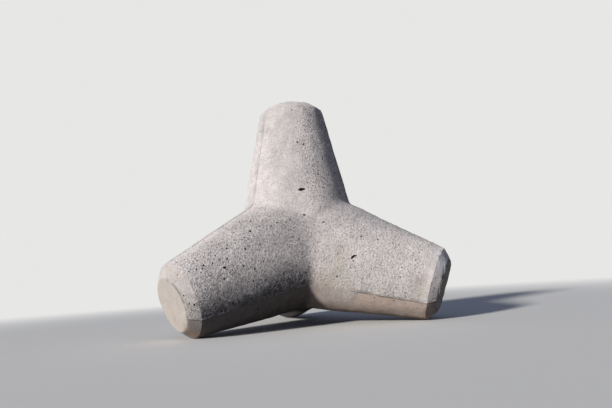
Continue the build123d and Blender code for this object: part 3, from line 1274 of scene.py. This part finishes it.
concrete = bpy.data.materials.new("concrete")
tree = empty_tree(concrete)
place = add_node("ShaderNodeTexCoord", {}).outputs["Object"]
print("the patterns read", place.name, "coordinates")

# %% [markdown]
# ## Arithmetic with nodes
# A material is a sum of many small decisions: mix two colours by a share, add or multiply two
# numbers, or stretch a range until it fits. Each gets a helper with a short name, so that the
# steps below read like plain arithmetic.

# %% Arithmetic with nodes
def mixed(share, first, second):
    """A colour between two: the second one's part is the share."""
    colours = {0: share, 6: first, 7: second}
    return add_node("ShaderNodeMix", colours, data_type="RGBA").outputs[2]


def combined(first, second, operation="ADD"):
    """Two numbers added, or put together by another operation of the Math node."""
    return add_node("ShaderNodeMath", {0: first, 1: second}, operation=operation).outputs[0]


def product(first, second):
    """Two numbers multiplied."""
    return combined(first, second, "MULTIPLY")


def stepped(value, low, high, from_value=0.0, to_value=1.0):
    """The value stretched so that low and high become the two numbers, and held there."""
    limits = {
        "Value": value, "From Min": low, "From Max": high,
        "To Min": from_value, "To Max": to_value,
    }
    return add_node("ShaderNodeMapRange", limits, interpolation_type="SMOOTHSTEP").outputs[0]


def finish_map(name):
    """The number that the mesh holds at each point under this name."""
    return add_node("ShaderNodeAttribute", {}, attribute_name=name).outputs["Fac"]


print("finish maps that the material can read:", ", ".join(finish_maps))

# %% [markdown]
# ## The patterns
# Noise at several sizes makes the mottling: broad patches, patches as large as a hand, clots
# and lumps of a centimetre or two, and grain. Lumps and clots are slightly longer upwards
# than sideways, as on the real block.

# %% Patterns
def mottle(patch, detail=3.0, roughness=0.55, where=place):
    """Noise whose patches measure about the given length in metres."""
    return add_node("ShaderNodeTexNoise", {
        "Vector": where, "Scale": 1 / patch, "Detail": detail, "Roughness": roughness,
    }).outputs["Fac"]


def swing(pattern, amount):
    """The pattern made to swing by the amount to both sides of nought."""
    return stepped(pattern, 0.25, 0.75, -amount, amount)


def by_pitting(least, most):
    """A number that grows with the share of pits, from the least to the most."""
    return stepped(finish_map("pitted"), 0.0, 1.0, least, most)


upright = add_node("ShaderNodeMapping", {"Vector": place, "Scale": (1.0, 1.0, 0.85)}).outputs[0]
broad = mottle(0.20, 3.0)
hand_size = mottle(0.06, 3.0, 0.6)
lumps = mottle(0.012, 3.0, 0.7, upright)
clots = mottle(0.022, 3.0, 0.75, upright)
grain = mottle(0.006, 2.0, 0.6)
print("nodes with the patterns:", len(tree.nodes))

# %% [markdown]
# ## The plain tone
# The lightness of a place is swung up and down by the patterns, and the sum mixes a dark
# paste with a pale one. A pitted skin is rougher, so its lumps count for more.

# %% Tone of the concrete
PALE_PASTE = (0.99, 0.90, 0.85, 1)
DARK_PASTE = (0.030, 0.028, 0.030, 1)
CREAM = (0.67, 0.585, 0.495, 1)
tone = finish_map("lightness")
tone = combined(tone, swing(broad, 0.07))
tone = combined(tone, swing(hand_size, 0.07))
tone = combined(tone, product(stepped(lumps, 0.33, 0.67, -0.16, 0.16), by_pitting(0.35, 1.6)))
tone = combined(tone, swing(grain, 0.09))
colour = mixed(tone, DARK_PASTE, PALE_PASTE)
colour = mixed(finish_map("cream"), colour, CREAM)
print("nodes with the plain tone:", len(tree.nodes))

# %% [markdown]
# ## Stains, damp and painted light and shade
# Over the plain tone come a tan band with faint upright streaks, the dark underside, which is
# damp and painted shade, painted blue-grey shade in clots, stains, and at the broken end
# fresh grey, painted pale blue sky light and cracks.

# %% Stains, damp and painted light and shade over the concrete
TAN = (0.66, 0.51, 0.41, 1)
DAMP_AND_SHADE_BROWN = (0.064, 0.051, 0.046, 1)
PAINTED_SHADE_BLUE = (0.074, 0.076, 0.106, 1)
ORANGE = (0.42, 0.24, 0.13, 1)
BROWN = (0.30, 0.215, 0.16, 1)
BROKEN_GREY = (0.60, 0.60, 0.64, 1)
PAINTED_SKY_WHITE = (0.92, 0.95, 1.0, 1)
CRACK = (0.045, 0.038, 0.038, 1)
stretched = add_node("ShaderNodeMapping", {"Vector": place, "Scale": (1.0, 1.0, 0.12)}).outputs[0]
streaks = mottle(0.030, 2.0, 0.5, stretched)
band_tone = mixed(stepped(streaks, 0.3, 0.7, 0.0, 0.30), TAN, BROWN)
band_share = product(finish_map("tan_band"), stepped(grain, 0.3, 0.7, 0.80, 0.95))
colour = mixed(band_share, colour, band_tone)
# the dark brown under the left leg is damp and painted shade; it also gives the dull shine
wet_and_shaded = product(finish_map("damp_and_shade"), stepped(hand_size, 0.25, 0.6, 0.8, 1.0))
colour = mixed(wet_and_shaded, colour, DAMP_AND_SHADE_BROWN)
# painted blue-grey shade, broken up in clots
colour = mixed(product(finish_map("painted_blue_shade"), stepped(clots, 0.43, 0.56, 1.0, 0.05)), colour, PAINTED_SHADE_BLUE)
colour = mixed(finish_map("orange_stain"), colour, ORANGE)
colour = mixed(finish_map("brown_stain_and_shade"), colour, BROWN)

break_pattern = mottle(0.030, 4.0, 0.75)
colour = mixed(product(finish_map("broken"), 0.7), colour, BROKEN_GREY)
# painted light: pale blue-white where the sky lights the right bevel
painted_sky_light = product(finish_map("painted_sky_light"), stepped(break_pattern, 0.35, 0.6, 0.35, 1.0))
colour = mixed(painted_sky_light, colour, PAINTED_SKY_WHITE)
cracked = product(finish_map("broken"), stepped(break_pattern, 0.45, 0.51, 0.9, 0.0))
cracks = product(finish_map("crack"), stepped(break_pattern, 0.40, 0.60, 1.0, 0.45))
colour = mixed(combined(cracked, cracks, "MAXIMUM"), colour, CRACK)
print("nodes with stains and damp:", len(tree.nodes))

# %% [markdown]
# ## Pits, dirt and painted shade
# The smallest pits, a few millimetres wide, are far too many for the mesh. They are the low
# places of a noise pattern. The more pitted a side is, the higher the level below which the
# pattern counts as a pit. Dirt and painted shade lie in them and in every real hole, where
# they get darker with the depth, and dirt lies beside the seams.

# %% Pits, dirt and painted shade
DIRT_AND_HOLLOW_SHADE = (0.060, 0.052, 0.048, 1)
pit_pattern = mottle(0.0108, 2.0, 0.6, upright)
above_pit_level = combined(pit_pattern, by_pitting(0.26, 0.44), "SUBTRACT")
pit = stepped(above_pit_level, -0.07, 0.02, 1.0, 0.0)
# dirt and painted shade in the pits
colour = mixed(product(pit, 0.60), colour, DIRT_AND_HOLLOW_SHADE)
colour = mixed(product(finish_map("seam_dirt"), 0.55), colour, DIRT_AND_HOLLOW_SHADE)
# dirt and painted shade in the holes, darker with the depth
colour = mixed(stepped(finish_map("hollow"), 0.02, 0.55, 0.0, 0.88), colour, DIRT_AND_HOLLOW_SHADE)
print("nodes with pits and dirt:", len(tree.nodes))

# %% [markdown]
# ## Surface
# Concrete is matt, and only its damp side has a dull shine. Its countless tiny faces throw
# light back towards the lamp, so it looks flat in the light and drops quickly into the
# shade, which the diffuse roughness imitates. The bump carries what is too small for the
# mesh: sand grains, small pits and broken faces. Its heights are in millimetres and the
# distance turns them into metres, so the strength stays at one.

# %% Surface
MILLIMETRE = 0.001
height = product(grain, 0.9)
height = combined(height, product(lumps, by_pitting(3.0, 20.0)))
height = combined(height, product(hand_size, 3.0))
height = combined(height, product(pit, 5.0), "SUBTRACT")
height = combined(height, product(finish_map("broken"), product(break_pattern, 9.0)))
bump = add_node("ShaderNodeBump", {"Strength": 1.0, "Distance": MILLIMETRE, "Height": height})
surface = add_node("ShaderNodeBsdfPrincipled", {
    "Base Color": colour,
    "Roughness": stepped(wet_and_shaded, 0.0, 1.0, 0.92, 0.6),
    "Diffuse Roughness": 0.5,
    "Normal": bump.outputs[0],
})
add_node("ShaderNodeOutputMaterial", {"Surface": surface.outputs[0]})
casting_mesh.materials.append(concrete)
print("nodes in the concrete material:", len(tree.nodes))

# %% [markdown]
# ## The floor
# The block stands on a plain pale floor. Far from the block the floor takes on the colour of
# the background, so no edge shows. A floor this pale would light up the underside of the
# block, which is dark on the real one. So the floor looks pale to the camera and in mirrors
# or glass, and gives less light back to the block.

# %% Floor
FLOOR_RADIUS = 60.0
FLOOR_CORNERS = 96
FADE_FROM, FADE_TO = 3.0, 12.0          # metres from the block's middle
BACKGROUND = (0.80, 0.80, 0.79, 1)
FLOOR_PAINT = (0.88, 0.85, 0.79, 1)
FLOOR_RETURN = (0.125, 0.122, 0.120, 1)


def seen_ray():
    """One for rays from the camera, also by way of a mirror or glass, and nought for others."""
    rays = add_node("ShaderNodeLightPath", {}).outputs
    seen = combined(rays["Is Camera Ray"], rays["Is Glossy Ray"], "MAXIMUM")
    return combined(seen, rays["Is Transmission Ray"], "MAXIMUM")


corner_turns = np.linspace(0, 2 * pi, FLOOR_CORNERS, endpoint=False)
floor_points = np.stack([
    FLOOR_RADIUS * np.cos(corner_turns),
    FLOOR_RADIUS * np.sin(corner_turns),
    np.full(FLOOR_CORNERS, cad_low[2]),
], axis=1)
floor_mesh = bpy.data.meshes.new("floor")
floor_mesh.from_pydata(floor_points.tolist(), [], [list(range(FLOOR_CORNERS))])
floor = bpy.data.objects.new("floor", floor_mesh)
bpy.context.scene.collection.objects.link(floor)

pale_floor = bpy.data.materials.new("pale_floor")
tree = empty_tree(pale_floor)
floor_place = add_node("ShaderNodeTexCoord", {}).outputs["Object"]
from_middle = add_node("ShaderNodeVectorMath", {0: floor_place}, operation="LENGTH")
seen = seen_ray()
faded = product(stepped(from_middle.outputs["Value"], FADE_FROM, FADE_TO), seen)
paint = add_node("ShaderNodeBsdfDiffuse", {"Color": mixed(seen, FLOOR_RETURN, FLOOR_PAINT)})
glow = add_node("ShaderNodeEmission", {"Color": BACKGROUND, "Strength": 1.0})
both = add_node("ShaderNodeMixShader", {0: faded, 1: paint.outputs[0], 2: glow.outputs[0]})
add_node("ShaderNodeOutputMaterial", {"Surface": both.outputs[0]})
floor_mesh.materials.append(pale_floor)
print("the floor lies at", round(cad_low[2], 4), "m")

# %% [markdown]
# ## The light
# One soft lamp stands low on the left, in front of the block, and gives the same light and
# shade as in the photograph. An even, slightly blue world fills the shadows. The camera, and
# any mirror or glass, sees the plain pale background instead, which lights nothing.

# %% Light
KEY_AZIMUTH = 215.0
KEY_ELEVATION = 21.0
KEY_STRENGTH = 3.35
KEY_SOFTNESS = 8.0
FILL = (0.102, 0.122, 0.182, 1)
key_data = bpy.data.lights.new("key_lamp", "SUN")
key_data.energy = KEY_STRENGTH
key_data.angle = np.radians(KEY_SOFTNESS)
key_lamp = bpy.data.objects.new("key_lamp", key_data)
bpy.context.scene.collection.objects.link(key_lamp)
key_lamp.rotation_euler = Euler(
    (np.radians(90 - KEY_ELEVATION), 0, np.radians(KEY_AZIMUTH + 90)))

world = bpy.data.worlds.new("pale_world")
bpy.context.scene.world = world
tree = empty_tree(world)
fill = add_node("ShaderNodeBackground", {"Color": FILL, "Strength": 1.0})
backdrop = add_node("ShaderNodeBackground", {"Color": BACKGROUND, "Strength": 1.0})
both = add_node("ShaderNodeMixShader", {0: seen_ray(), 1: fill.outputs[0], 2: backdrop.outputs[0]})
add_node("ShaderNodeOutputWorld", {"Surface": both.outputs[0]})
bpy.context.scene.view_settings.view_transform = "Standard"
print("the lamp stands", KEY_ELEVATION, "degrees high")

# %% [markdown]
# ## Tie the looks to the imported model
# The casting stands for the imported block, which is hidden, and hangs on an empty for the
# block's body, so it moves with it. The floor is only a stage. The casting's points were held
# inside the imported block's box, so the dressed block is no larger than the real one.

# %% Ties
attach(casting, "root")
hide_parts("tetrapod")
